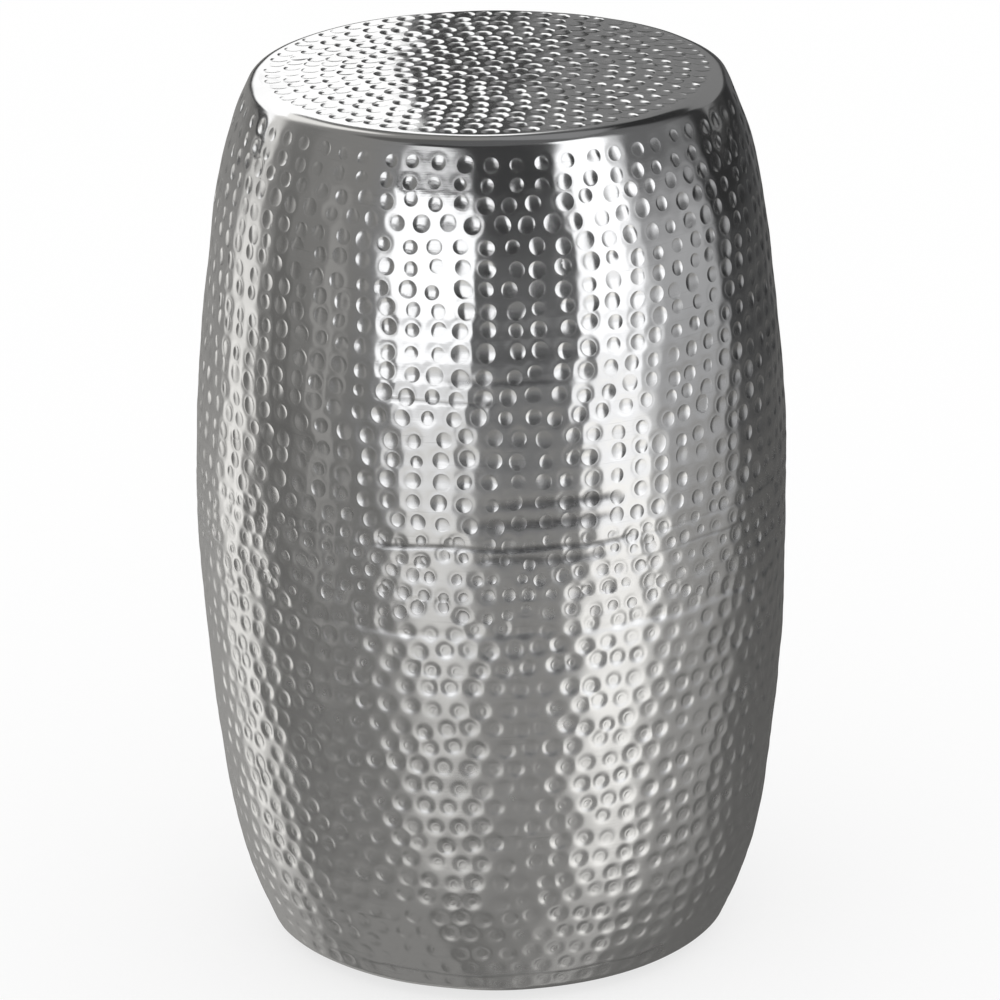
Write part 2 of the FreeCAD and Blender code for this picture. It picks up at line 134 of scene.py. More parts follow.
# how much dents differ, as shares of their value, and the turn in radians
SIZE_SPREAD = (0.93, 1.07)
DEPTH_SPREAD = (0.66, 1.3)
WIDTH_SPREAD = (0.94, 1.03)
LENGTH_SPREAD = (0.98, 1.12)
SWELL_SPREAD = (0.65, 1.3)
SKEW_SPREAD = (0.5, 1.5)
TURN_STRAY = 0.3
# how much the spacing of rows and rings differs, and where rows start, as shares
PITCH_SPREAD = (0.98, 1.02)
ROW_SPREAD = (0.95, 1.05)
RING_SPREAD = (0.96, 1.04)
ROW_STRAY = 0.09
ROW_WAVES = 6


def punch(rng, x, y, radius, steep, powers, swell=0.0, fade=1.2 * MM, tip=(0, 0), skew=0.0, stray=0.035):
    """One dent, as a row of numbers that bowl() and hammer() read.

    They are its place, half widths and turn, the depth and power of its bowl, the depth, fade and shift of
    the soft dip round it, and its tilt, which strays from tip. The bowl's slope at its rim is about steep,
    and the higher its power, the flatter its bottom.
    """
    size = radius * rng.uniform(*SIZE_SPREAD)
    power = rng.uniform(*powers)
    depth = steep * rng.uniform(*DEPTH_SPREAD) * size / power
    return (
        x, y, size * rng.uniform(*WIDTH_SPREAD), size * rng.uniform(*LENGTH_SPREAD),
        rng.normal(0, TURN_STRAY), depth, power,
        swell * rng.uniform(*SWELL_SPREAD), fade, skew * rng.uniform(*SKEW_SPREAD),
        rng.normal(tip[0], stray), rng.normal(tip[1], stray),
    )


def wander(rng, waves, size):
    """A smooth closed wave round the drum, as amplitudes, counts and phases."""
    counts = rng.integers(2, 23, waves)
    return size * rng.normal(0, 1, waves) / math.sqrt(waves), counts, rng.uniform(0, TURN, waves)


def wave_at(wave, theta):
    """The wave's height and slope at these angles."""
    height, slope = np.zeros_like(theta), np.zeros_like(theta)
    for size, count, phase in zip(*wave):
        height = height + size * np.sin(count * theta + phase)
        slope = slope + size * count * np.cos(count * theta + phase)
    return height, slope


def wall_rows(rng, zones):
    """The dents of the wall, as (angle, arc length, ...) rows, zone by zone down the drum."""
    dents, phase = [], 0.0
    length = outline.length_at(WALL_TOP)
    for zone in zones:
        end = outline.length_at(zone["bottom"])
        shape = zone["steep"], zone["powers"], zone["swell"], zone["fade"], zone["tip"], zone["skew"]
        while length < end:
            radius = float(outline.at(length)[0])
            count = round(TURN * radius / (zone["pitch"] * rng.uniform(*PITCH_SPREAD)))
            phase += (0.5 if rng.uniform() < zone["stagger"] else 0.0) + rng.normal(0, ROW_STRAY)
            wave = wander(rng, ROW_WAVES, zone["wave"])
            for k in range(count):
                theta = TURN * ((k + phase) / count - 0.25) + rng.normal(0, zone["loose"]) / radius
                y = length + float(wave_at(wave, np.array(theta))[0]) + rng.normal(0, 0.6 * zone["loose"])
                size = zone["radius"] * rng.uniform(*zone["sizes"])
                dents.append(punch(rng, theta, y, size, *shape))
                if rng.uniform() < zone["twice"]:
                    step = rng.normal(0, 0.55 * zone["radius"], 2)
                    dents.append(punch(rng, theta + step[0] / radius, y + step[1], zone["radius"], *shape))
            length += zone["row"] * rng.uniform(*ROW_SPREAD)
    return np.array(dents)


def top_rings(rng, outer, ring, pitch, radius, steep, powers):
    """The dents of the flat top, as (x, y, ...) rows, ring by ring from the rim inwards."""
    dents, place, phase = [], outer, 0.0
    while place > 0:
        count = max(1, round(TURN * place / pitch))
        phase += rng.uniform(0.2, 0.8)
        for k in range(count):
            theta = TURN * (k + phase) / count + rng.normal(0, 0.07 * pitch) / place
            out = place + rng.normal(0, 0.05 * ring)
            x, y = out * math.cos(theta), out * math.sin(theta)
            dents.append(punch(rng, x, y, radius, steep, powers, stray=0.012))
        place -= ring * rng.uniform(*RING_SPREAD)
    return np.array(dents)


# The wall's zones, from WALL_TOP down: the height where each ends, then what these two lists name. Dents
# stray by loose, and rows by wave. Of the dents, the share twice is struck twice. Of the rows, the share
# stagger is set half a pitch on.
ZONE_MM = ("row", "pitch", "radius", "swell", "fade", "skew", "loose", "wave")
ZONE_SHARES = ("steep", "powers", "tip", "sizes", "twice", "stagger")
ZONE_TABLE = [
    (0.4560, (10.2, 13.6, 3.8, 0.07, 1.9, 0.3, 0.7, 0.4),
     (0.27, (1.9, 2.6), (-0.01, -0.03), (0.85, 1.1), 0, 0.3)),
    (0.3850, (11.2, 13.0, 4.3, 0.07, 2.0, 0.5, 0.9, 0.9),
     (0.29, (1.9, 2.7), (-0.01, -0.03), (0.86, 1.1), 0.01, 0.2)),
    (0.2735, (11.2, 13.0, 4.2, 0.15, 2.0, 0.5, 0.9, 0.9),
     (0.28, (1.8, 2.5), (-0.01, -0.03), (0.86, 1.1), 0.01, 0.2)),
    (0.2270, (9.4, 11.0, 3.2, 0.22, 1.7, 0.4, 1.4, 1.2),
     (0.25, (1.9, 2.5), (-0.02, -0.03), (0.75, 1.15), 0.06, 0.5)),
    (0.0270, (11.2, 12.4, 2.1, 0.54, 2.3, 0.4, 1.0, 1.0),
     (0.07, (1.8, 2.4), (-0.02, -0.02), (0.85, 1.15), 0, 0.85)),
    (0.0140, (10.0, 12.0, 2.0, 0.36, 2.1, 0.3, 0.9, 0.6),
     (0.07, (1.8, 2.4), (-0.02, -0.02), (0.9, 1.1), 0, 0.5)),
]
WALL_TOP = 0.4675
ZONES = [
    {"bottom": bottom, **dict(zip(ZONE_MM, (size * MM for size in sizes))), **dict(zip(ZONE_SHARES, shares))}
    for bottom, sizes, shares in ZONE_TABLE
]
# height; half width and depth in mm; painted shade that darkens the crease; middle round the drum, from the
# front, and half length, in degrees
CREASES = [
    (0.2708, 1.4, 0.44, 1.0, 2, 27),
    (0.2642, 2.0, 0.36, 1.0, 9, 14),
    (0.2838, 2.2, 0.36, 1.0, 10, 15),
    (0.2943, 2.2, 0.34, 1.0, 12, 14),
    (0.3485, 0.9, 0.12, 0.6, -11, 13),
    (0.3590, 1.8, 0.16, 0.6, 4, 15),
    (0.2600, 0.9, 0.10, 0.4, 40, 16),
    (0.2712, 0.9, 0.07, 0.2, 68, 40),
    (0.2712, 0.9, 0.06, 0.15, -66, 42),
    (0.2700, 1.2, 0.34, 0.8, 152, 48),
    (0.2720, 1.2, 0.34, 0.8, -148, 48),
    (0.2820, 1.6, 0.20, 0.6, 104, 24),
    (0.2640, 1.6, 0.20, 0.7, -112, 26),
    (0.2900, 1.8, 0.20, 0.6, 172, 22),
    (0.2235, 2.4, 0.32, 0.0, 0, 70),
    (0.2240, 2.4, 0.32, 0.0, 180, 90),
    (0.0190, 0.9, 0.12, 0.4, 4, 40),
    (0.0200, 0.9, 0.12, 0.4, 150, 60),
]

TOP_DENTS = {"outer": 112.6 * MM, "ring": 9.7 * MM, "pitch": 10.8 * MM, "radius": 4.7 * MM,
             "steep": 0.22, "powers": (2.0, 2.7)}

wall_dents = wall_rows(np.random.default_rng(11), ZONES)
top_dents = top_rings(np.random.default_rng(23), **TOP_DENTS)
NO_DENT = -1
BURR = 0.70 * MM        # half the width of the dull ring along a dent's rim
BURR_REACH = 4          # how far out it is worked out, in half widths
FADE_REACH = 3.2        # and the soft dip, in fades
CREASE_REACH = 7 * MM   # and a crease, to each side
CREASE_WAVES = 7
CREASE_END = 5          # the degrees over which a crease runs out


def bowl(dx, dy, dent):
    """A dent at offsets from its centre: share of the way to its rim, depth, and the depth's two slopes."""
    _, _, a, b, turn, depth, power, _, _, _, tip_x, tip_y = dent
    c, s = np.cos(turn), np.sin(turn)
    u, v = (dx * c + dy * s) / a, (dy * c - dx * s) / b
    tt = u * u + v * v + 1e-12
    hx, hy = u * c / a - v * s / b, u * s / a + v * c / b
    side = tip_x * dx + tip_y * dy
    push = depth * (1 - tt ** (power / 2)) + side * (1 - tt)
    steep = -depth * power * tt ** (power / 2 - 1)
    gx = steep * hx + tip_x * (1 - tt) - 2 * side * hx
    gy = steep * hy + tip_y * (1 - tt) - 2 * side * hy
    return np.sqrt(tt), push, gx, gy


class Sheet:
    """A grid of points on the drum's outer surface, with what the hammer does at each of them.

    The wall's grid has an angle and an arc length at each point, and the top's has x and y.
    """

    def __init__(self, across, along, wrap, dents):
        self.x, self.y = across.copy(), along.copy()
        self.wrap, self.dents = wrap, dents
        shape = across.shape
        self.push, self.owner = np.zeros(shape), np.full(shape, NO_DENT)
        self.soft, self.sx, self.sy = np.zeros(shape), np.zeros(shape), np.zeros(shape)
        self.dirt, self.burr = np.zeros(shape), np.zeros(shape)
        self.on_rim, self.fixed = np.zeros(shape, bool), np.zeros(shape, bool)
        self.radii = outline.at(dents[:, 1])[0] if wrap else np.ones(len(dents))
        if wrap:
            self.rows = along[:, 0].copy()
            self.fixed[[0, -1]] = True

    def block(self, number, reach):
        """The part of the grid near a dent, and the offsets from its centre."""
        dent, radius = self.dents[number], self.radii[number]
        if self.wrap:
            low, high = np.searchsorted(self.rows, [dent[1] - reach, dent[1] + reach])
            step = TURN / AROUND
            centre = round(dent[0] / step)
            width = int(reach / radius / step) + 2
            index = np.ix_(np.arange(low, high), np.arange(centre - width, centre + width + 1) % AROUND)
            dx = (self.x[index] - dent[0] + math.pi) % TURN - math.pi
            return index, dx * radius, self.y[index] - dent[1]
        near = np.nonzero((abs(self.x - dent[0]) < reach) & (abs(self.y - dent[1]) < reach))
        return near, self.x[near] - dent[0], self.y[near] - dent[1]

    def snap(self):
        """Moves the points next to a dent's rim onto it, so that no edge of the mesh crosses a rim."""
        for number, dent in enumerate(self.dents):
            index, dx, dy = self.block(number, 1.3 * max(dent[2], dent[3]))
            if dx.size == 0:
                continue
            t = bowl(dx, dy, dent)[0]
            size = np.hypot(dx, dy) + 1e-9
            if self.wrap:
                wide = self.radii[number] * TURN / AROUND
                cell = np.maximum(abs(dx) / size * wide, abs(dy) / size * CELL)
            else:
                cell = CELL
            move = (abs(size / t - size) < 0.51 * cell) & ~self.fixed[index] & ~self.on_rim[index]
            change = np.where(move, 1 / t - 1, 0.0)
            self.x[index] += dx * change / self.radii[number]
            self.y[index] += dy * change
            self.on_rim[index] |= move

    def hammer(self):
        """Presses in every dent, with its burr and soft dip. Where two dents meet, the deeper one shows."""
        for number, dent in enumerate(self.dents):
            index, dx, dy = self.block(number, 1.02 * max(dent[2], dent[3]))
            if dx.size == 0:
                continue
            t, push, _, _ = bowl(dx, dy, dent)
            deeper = (t < 0.9999) & (push > self.push[index])
            self.push[index] = np.where(deeper, push, self.push[index])
            self.owner[index] = np.where(deeper, number, self.owner[index])
            index, dx, dy = self.block(number, BURR_REACH * BURR + max(dent[2], dent[3]))
            t = bowl(dx, dy, dent)[0]
            off = np.hypot(dx, dy) * (1 - 1 / np.maximum(t, 0.1))
            self.burr[index] = np.maximum(self.burr[index], np.exp(-((off / BURR) ** 2)))
            swell, fade, skew = dent[7:10]
            if swell > 0:
                index, dx, dy = self.block(number, FADE_REACH * fade + max(dent[2], dent[3]))
                dx, dy = dx + skew, dy + skew
                t = bowl(dx, dy, dent)[0]
                size = np.hypot(dx, dy) + 1e-9
                q = np.maximum(size - size / t, 0) / fade
                fall = swell * np.exp(-q * q)
                self.soft[index] += fall
                self.sx[index] -= 2 * fall * q / fade * dx / size
                self.sy[index] -= 2 * fall * q / fade * dy / size

    def crease(self, rng, height, width, depth, dirt, middle, half):
        """Folds a thin wavy groove part of the way round the wall, uneven in depth, with painted shade
        darkening it.
        """
        length = outline.length_at(height)
        wave, uneven = wander(rng, CREASE_WAVES, 0.8 * MM), wander(rng, CREASE_WAVES, 0.3)
        low, high = np.searchsorted(self.rows, [length - CREASE_REACH, length + CREASE_REACH])
        if low == high:
            return
        band = slice(low, high)
        theta = self.x[band]
        offset, slope = wave_at(wave, theta)
        away = abs((theta + math.radians(90 - middle) + math.pi) % TURN - math.pi)
        ends = np.clip((math.radians(half) - away) / math.radians(CREASE_END), 0, 1)
        strength = ends * ends * (3 - 2 * ends) * np.clip(0.9 + wave_at(uneven, theta)[0], 0.3, 1.2)
        y = self.y[band] - length - offset
        line = strength * np.exp(-((y / width) ** 2))
        groove = depth * line
        # painted shade: the crease's darkening, strongest along its middle
        self.dirt[band] = np.maximum(self.dirt[band], dirt * line)
        self.soft[band] += groove
        self.sy[band] -= 2 * groove * y / width**2
        self.sx[band] += 2 * groove * y / width**2 * slope / BELLY_RADIUS

    def slopes(self, corners):
        """The hammered surface's two slopes at each corner of these faces, crisp along the rims."""
        x, y, owner, push = (a.ravel()[corners] for a in (self.x, self.y, self.owner, self.push))
        gx, gy = self.sx.ravel()[corners], self.sy.ravel()[corners]
        best = np.take_along_axis(owner, np.where(owner >= 0, push, -1.0).argmax(1)[:, None], 1)[:, 0]
        inside = np.nonzero(best >= 0)[0]
        dent = self.dents[best[inside]].T[:, :, None]
        radius = self.radii[best[inside]][:, None]
        dx = x[inside] - dent[0]
        if self.wrap:
            dx = ((dx + math.pi) % TURN - math.pi) * radius
        t, _, bx, by = bowl(dx, y[inside] - dent[1], dent)
        gx[inside] += np.where(t < 1.02, bx, 0.0)
        gy[inside] += np.where(t < 1.02, by, 0.0)
        return gx, gy


def split_quads(quads, state):
    """Quads along a rim cut into triangles whose shared edge doesn't cross it; the rest stay quads.

    The state of each vertex is 1 inside a dent, 0 on a rim and -1 outside.
    Returns the quads, the triangles, and where each triangle's corners were in its quad.
    """
    s = state[quads]
    mixed = (s == 0).any(1) & (s != 0).any(1)
    cut = quads[mixed]
    crossing = (s[mixed][:, 0] * s[mixed][:, 2] < 0)[:, None]
    first = np.where(crossing, [0, 1, 3], [0, 1, 2])
    second = np.where(crossing, [1, 2, 3], [0, 2, 3])
    places = np.concatenate([first, second])
    rows = np.concatenate([np.arange(len(cut))] * 2)[:, None]
    return quads[~mixed], cut[rows, places], mixed, (rows, places)


def ripples(rng, count, shortest, longest, slope):
    """Long low waves of the beaten sheet, as wave vectors, phases and heights."""
    lengths = np.exp(rng.uniform(math.log(shortest), math.log(longest), count))
    way = rng.normal(0, 1, (count, 3))
    way /= np.linalg.norm(way, axis=1)[:, None]
    vectors = way * (TURN / lengths)[:, None]
    heights = slope * math.sqrt(2 / count) / (TURN / lengths)
    return vectors, rng.uniform(0, TURN, count), heights


# each with how many waves, the shortest, the longest and their slope
RIPPLES = [
    ripples(np.random.default_rng(5), 22, 22 * MM, 70 * MM, 0.028),
    ripples(np.random.default_rng(6), 16, 90 * MM, 200 * MM, 0.017),
]


def ripple_at(points):
    """The ripples' depth and gradient at points on the surface."""
    depth, gradient = np.zeros(len(points)), np.zeros((len(points), 3))
    for vectors, phases, heights in RIPPLES:
        for k, phase, height in zip(vectors, phases, heights):
            angle = points @ k + phase
            depth += height * np.sin(angle)
            gradient += (height * np.cos(angle))[:, None] * k
    return depth, gradient


class Skin:
    """Part of the hammered surface: places, and what its corner normals are made from."""

    def __init__(self, sheet, base, normal, east, south, calm):
        depth, gradient = ripple_at(base)
        calm = calm.ravel()
        self.sheet, self.normal, self.east, self.south = sheet, normal, east, south
        self.rise_x = (gradient * east).sum(1) * calm
        self.rise_y = (gradient * south).sum(1) * calm
        total = sheet.push.ravel() + sheet.soft.ravel() + depth * calm - SINK
        self.places = base - total[:, None] * normal
        self.marks = np.stack([sheet.push.ravel(), sheet.dirt.ravel(), sheet.burr.ravel()])
        self.state = np.where(sheet.owner >= 0, 1, np.where(sheet.on_rim, 0, -1)).ravel()

    def corner_normals(self, corners):
        """The normal at each corner of these faces."""
        gx, gy = self.sheet.slopes(corners)
        gx = gx + self.rise_x[corners]
        gy = gy + self.rise_y[corners]
        made = self.normal[corners] + gx[..., None] * self.east[corners] + gy[..., None] * self.south[corners]
        return made / np.linalg.norm(made, axis=-1)[..., None]


def wall_skin(lengths):
    """The hammered wall over these rings of arc length."""
    theta = np.arange(AROUND) * (TURN / AROUND)
    across, along = np.meshgrid(theta, lengths)
    sheet = Sheet(across, along, True, wall_dents)
    sheet.snap()
    sheet.hammer()
    for k, (height, width, depth, *rest) in enumerate(CREASES):
        sheet.crease(np.random.default_rng(40 + k), height, width * MM, depth * MM, *rest)
    r, z, nr, nz = (a.ravel() for a in outline.at(sheet.y))
    c, s = np.cos(sheet.x.ravel()), np.sin(sheet.x.ravel())
    zero = np.zeros_like(c)
    base = np.stack([r * c, r * s, z], 1)
    normal = np.stack([nr * c, nr * s, nz], 1)
    east = np.stack([-s, c, zero], 1)
    south = np.stack([nz * c, nz * s, -nr], 1)
    edge = np.minimum(sheet.y - outline.flat, 2 * outline.half - outline.flat - sheet.y)
    calm = np.clip(CALM_LEAST + (1 - CALM_LEAST) * edge / CALM_WIDTH, CALM_LEAST, 1)
    return Skin(sheet, base, normal, east, south, calm)


def top_skin():
    """The hammered flat top, a square grid wrapped into a disc; its rings; the wall vertices it meets."""
    half = TOP_HALF
    i, j = np.meshgrid(np.arange(-half, half + 1), np.arange(-half, half + 1), indexing="ij")
    ring = np.maximum(abs(i), abs(j))
    safe = np.maximum(ring, 1)
    angle = np.where(
        abs(i) >= abs(j),
        np.where(i >= 0, 0.0, 4.0) + np.where(i >= 0, 1, -1) * j / safe,
        np.where(j >= 0, 2.0, 6.0) - np.where(j >= 0, 1, -1) * i / safe,
    )
    theta = angle * math.pi / 4
    radius = ring / half * outline.flat
    sheet = Sheet(radius * np.cos(theta), radius * np.sin(theta), False, top_dents)
    sheet.fixed |= ring >= half - 1
    sheet.snap()
    sheet.hammer()
    x, y = sheet.x.ravel(), sheet.y.ravel()
    zero, one = np.zeros(x.size), np.ones(x.size)
    base = np.stack([x, y, zero + shell_high], 1)
    up = np.stack([zero, zero, one], 1)
    east, south = np.stack([one, zero, zero], 1), np.stack([zero, one, zero], 1)
    inner = np.clip((outline.flat - np.hypot(sheet.x, sheet.y)) / CALM_WIDTH, 0, 1)
    skin = Skin(sheet, base, up, east, south, CALM_LEAST + 0.45 * inner)
    return skin, ring, np.round(theta / (TURN / AROUND)).astype(int) % AROUND


def ring_quads(first, rows, around=AROUND):
    """The faces between rings of vertices that start at index first, and each corner's column and row."""
    k, j = np.meshgrid(np.arange(around), np.arange(rows - 1))
    after = (k + 1) % around
    a, b = first + j * around + k, first + j * around + after
    c, d = first + (j + 1) * around + after, first + (j + 1) * around + k
    faces = np.stack([a, d, c, b], -1).reshape(-1, 4)
    columns = np.stack([k, k, k + 1, k + 1], -1).reshape(-1, 4) / around
    lines = np.stack([j, j + 1, j + 1, j], -1).reshape(-1, 4) / max(rows - 1, 1)
    return faces, columns, lines


def linked(name, data):
    """A new object in the scene."""
    made = bpy.data.objects.new(name, data)
    bpy.context.scene.collection.objects.link(made)
    return made


class Shape:
    """A mesh being put together: vertices, and faces of three or four corners with UVs and corner normals."""

    def __init__(self):
        self.places, self.marks, self.count = [], [], 0
        self.faces, self.uvs, self.normals = [], [], []

    def add_points(self, places, marks=None):
        """Adds vertices, with the dent's depth, the creases' painted shade and the burr at each. Returns the
        number of the first.
        """
        first = self.count
        self.places.append(places)
        self.marks.append(np.zeros((3, len(places))) if marks is None else marks)
        self.count += len(places)
        return first

    def add_faces(self, faces, uvs, normals):
        """Adds faces that all have the same number of corners."""
        if len(faces):
            self.faces.append(np.asarray(faces))
            self.uvs.append(np.asarray(uvs))
            self.normals.append(np.asarray(normals))

    def add_skin(self, skin, quads, uvs, numbers):
        """Adds faces of a hammered surface. The numbers say which of the mesh's vertices its points are."""
        whole, cut, mixed, (rows, spots) = split_quads(quads, skin.state)
        self.add_faces(numbers[whole], uvs[~mixed], skin.corner_normals(whole))
        self.add_faces(numbers[cut], uvs[mixed][rows, spots], skin.corner_normals(cut))

    def build(self, name):
        """The finished object, with its normals, a UV map for baking and each point's marks."""
        mesh = bpy.data.meshes.new(name)
        places = np.concatenate(self.places).astype(np.float32)
        totals = np.concatenate([np.full(len(f), f.shape[1]) for f in self.faces])
        corners = np.concatenate([f.ravel() for f in self.faces]).astype(np.int32)
        mesh.vertices.add(len(places))
        mesh.vertices.foreach_set("co", places.ravel())
        mesh.loops.add(len(corners))
        mesh.loops.foreach_set("vertex_index", corners)
        mesh.polygons.add(len(totals))
        starts = np.concatenate([[0], np.cumsum(totals)[:-1]]).astype(np.int32)
        mesh.polygons.foreach_set("loop_start", starts)
        mesh.polygons.foreach_set("use_smooth", np.ones(len(totals), bool))
        mesh.update(calc_edges=True)
        layer = mesh.uv_layers.new(name="OFBake")
        layer.data.foreach_set("uv", np.concatenate([u.reshape(-1) for u in self.uvs]).astype(np.float32))
        for name, values in zip(("dent", "dirt", "burr"), np.concatenate(self.marks, 1).astype(np.float32)):
            mesh.attributes.new(name, "FLOAT", "POINT").data.foreach_set("value", values)
        normals = np.concatenate([n.reshape(-1, 3) for n in self.normals]).astype(np.float32)
        mesh.normals_split_custom_set(normals)
        return linked(mesh.name, mesh)


# corners of the rectangles of the UV square that the parts of a piece are baked into
WALL_UV = (0.002, 0.002), (0.998, 0.62)
FLAT_UV = (0.002, 0.64), (0.36, 0.998)
INSIDE_UV = (0.38, 0.64), (0.70, 0.998)
RIM_UV = (0.72, 0.64), (0.998, 0.998)
HIDDEN_UV = (0.71, 0.65)
WELD_UV = (0.002, 0.002), (0.998, 0.6)
WELD_BACK_UV = (0.002, 0.62), (0.998, 0.74)
WELD_LOWER_UV = (0.002, 0.76), (0.4, 0.998)
WELD_UPPER_UV = (0.502, 0.76), (0.9, 0.998)


def boxed(u, v, low, high):
    """Two 0 to 1 coordinates, laid into a rectangle of the UV square."""
    return np.stack([low[0] + (high[0] - low[0]) * u, low[1] + (high[1] - low[1]) * v], -1)


def seen_from_above(places, width, box):
    """UVs of corners at these places, by where they are across the drum, in a rectangle of the UV square."""
    spot = places[..., :2] / width + 0.5
    return boxed(spot[..., 0], spot[..., 1], *box)


def facing(up, faces):
    """The same normal, straight up or down, for each corner of these faces."""
    return np.broadcast_to(np.array([0, 0, up]), faces.shape + (3,))


def turned(radii, heights, outward, upward):
    """Rings of plain vertices at these radii and heights, and normals with these outward and upward parts."""
    theta = np.arange(COARSE) * (TURN / COARSE)
    c, s, one = np.cos(theta), np.sin(theta), np.ones(COARSE)
    places = np.stack([np.outer(radii, c), np.outer(radii, s), np.outer(heights, one)], -1).reshape(-1, 3)
    normals = np.stack([np.outer(outward, c), np.outer(outward, s), np.outer(upward, one)], -1).reshape(-1, 3)
    return places, normals


def gather(fine_first, coarse_first):
    """Triangles between a ring of AROUND vertices and one of COARSE."""
    k = np.arange(COARSE)
    half = PER_COARSE // 2
    left, right = coarse_first + k, coarse_first + (k + 1) % COARSE
    fine = [fine_first + (PER_COARSE * k + m) % AROUND for m in range(PER_COARSE + 1)]
    made = [np.stack([left if m < half else right, fine[m], fine[m + 1]], -1) for m in range(PER_COARSE)]
    return np.concatenate([*made, np.stack([left, fine[half], right], -1)])


def add_wall(shape, upper):
    """The hammered wall. Returns where its ring at the weld and its ring at the flat end start."""
    wall_length = outline.half - WELD_GAP / 2 - outline.flat
    rows = round(wall_length / CELL) + 1
    lengths = outline.flat + np.linspace(0, wall_length, rows)
    wall = wall_skin(lengths if upper else 2 * outline.half - lengths[::-1])
    shape.add_points(wall.places, wall.marks)
    faces, columns, lines = ring_quads(0, rows)
    shape.add_skin(wall, faces, boxed(columns, lines, *WALL_UV), np.arange(len(wall.places)))
    last = (rows - 1) * AROUND
    return (last, 0) if upper else (0, last)


def add_inside(shape, upper):
    """The plain inside, from weld to flat end. Returns where its first and last ring start."""
    edge = outline.half - WELD_GAP / 2
    lengths = np.concatenate([
        np.linspace(edge, outline.flat, 40),
        np.linspace(outline.flat, 6 * MM, 14)[1:],
    ])
    r, z, nr, nz = outline.at(lengths if upper else 2 * outline.half - lengths)
    places, normals = turned(r - SHEET * nr, z - SHEET * nz, -nr, -nz)
    first = shape.add_points(places)
    quads, columns, lines = ring_quads(0, len(lengths), COARSE)
    quads = quads[:, ::-1] if upper else quads
    uv = boxed(columns, lines, *INSIDE_UV)
    shape.add_faces(quads + first, uv[:, ::-1] if upper else uv, normals[quads])
    return first, first + (len(lengths) - 1) * COARSE


def add_top(shape, flat_first, inner_last):
    """The hammered flat top, and the middle of its underside."""
    skin, ring, meets = top_skin()
    own = (ring < TOP_HALF).ravel()
    first = shape.add_points(skin.places[own], skin.marks[:, own])
    numbers = np.where(own, np.cumsum(own) - 1 + first, meets.ravel() + flat_first)
    grid = np.arange(ring.size).reshape(ring.shape)
    corners = [grid[:-1, :-1], grid[1:, :-1], grid[1:, 1:], grid[:-1, 1:]]
    lying = (ring[:-1, :-1] == ring[1:, 1:])[..., None]
    quads = np.where(lying, np.stack(corners[1:] + corners[:1], -1), np.stack(corners, -1)).reshape(-1, 4)
    shape.add_skin(skin, quads, seen_from_above(skin.places[quads], 2 * outline.flat, FLAT_UV), numbers)
    centre = shape.add_points(np.array([[0, 0, shell_high - SHEET]]))
    k = np.arange(COARSE)
    fan = np.stack([np.full(COARSE, centre), inner_last + (k + 1) % COARSE, inner_last + k], -1)
    shape.add_faces(fan, np.zeros(fan.shape + (2,)) + HIDDEN_UV, facing(-1.0, fan))


def add_base(shape, flat_first, inner_last):
    """The plain base with its vent."""
    bend = 0.5 * MM
    flat = [*np.linspace(outline.flat - 3 * MM, 12 * MM, 30), 8 * MM, VENT_RADIUS + bend]
    radii = np.array([*flat, VENT_RADIUS + 0.3 * bend, VENT_RADIUS, VENT_RADIUS])
    heights = shell_low + np.array([*([0.0] * len(flat)), 0.3 * bend, bend, SHEET])
    down = np.array([*([-1.0] * len(flat)), -0.7, 0.0, 0.0])
    places, normals = turned(radii, heights, -np.sqrt(1 - down**2), down)
    first = shape.add_points(places)
    quads, _, _ = ring_quads(0, len(radii), COARSE)
    uv = seen_from_above(places[quads], 2 * outline.flat, FLAT_UV)
    shape.add_faces(quads + first, uv, normals[quads])
    edge = gather(flat_first, first)[:, ::-1]
    uv = seen_from_above(np.concatenate(shape.places)[edge], 2 * outline.flat, FLAT_UV)
    shape.add_faces(edge, uv, facing(-1.0, edge))
    vent = first + (len(radii) - 1) * COARSE
    k = np.arange(COARSE)
    after = (k + 1) % COARSE
    close = np.stack([vent + k, inner_last + k, inner_last + after, vent + after], -1)[:, ::-1]
    shape.add_faces(close, np.zeros(close.shape + (2,)) + HIDDEN_UV, facing(1.0, close))


def shell(name, upper):
    """One shell: hammered wall, a plain inside, the rim that the weld hides, and its flat end."""
    shape = Shape()
    rim_first, flat_first = add_wall(shape, upper)
    inner_first, inner_last = add_inside(shape, upper)
    rim = gather(rim_first, inner_first)
    rim = rim[:, ::-1] if upper else rim
    uv = seen_from_above(np.concatenate(shape.places)[rim], 2.02 * BELLY_RADIUS, RIM_UV)
    shape.add_faces(rim, uv, facing(-1.0 if upper else 1.0, rim))
    add_end = add_top if upper else add_base
    add_end(shape, flat_first, inner_last)
    return shape.build(name)


def weld(name):
    """The weld between the shells, hammered flush with them, as a closed ring."""
    shape = Shape()
    lengths = outline.half + np.linspace(-WELD_GAP / 2, WELD_GAP / 2, WELD_RINGS)
    skin = wall_skin(lengths)
    shape.add_points(skin.places, skin.marks)
    faces, columns, lines = ring_quads(0, WELD_RINGS)
    shape.add_skin(skin, faces, boxed(columns, lines, *WELD_UV), np.arange(len(skin.places)))
    r, z, _, _ = outline.at(lengths[[-1, 0]])
    flat = np.zeros(2)
    places, normals = turned(r - SHEET, z, flat - 1, flat)
    inner = shape.add_points(places)
    quads, columns, lines = ring_quads(0, 2, COARSE)
    shape.add_faces(quads + inner, boxed(columns, lines, *WELD_BACK_UV), normals[quads])
    last = (WELD_RINGS - 1) * AROUND
    edges = (last, inner, -1.0, WELD_LOWER_UV), (0, inner + COARSE, 1.0, WELD_UPPER_UV)
    for first, coarse, way, box in edges:
        side = gather(first, coarse)
        side = side[:, ::-1] if way < 0 else side
        uv = seen_from_above(np.concatenate(shape.places)[side], 2.02 * BELLY_RADIUS, box)
        shape.add_faces(side, uv, facing(way, side))
    return shape.build(name)


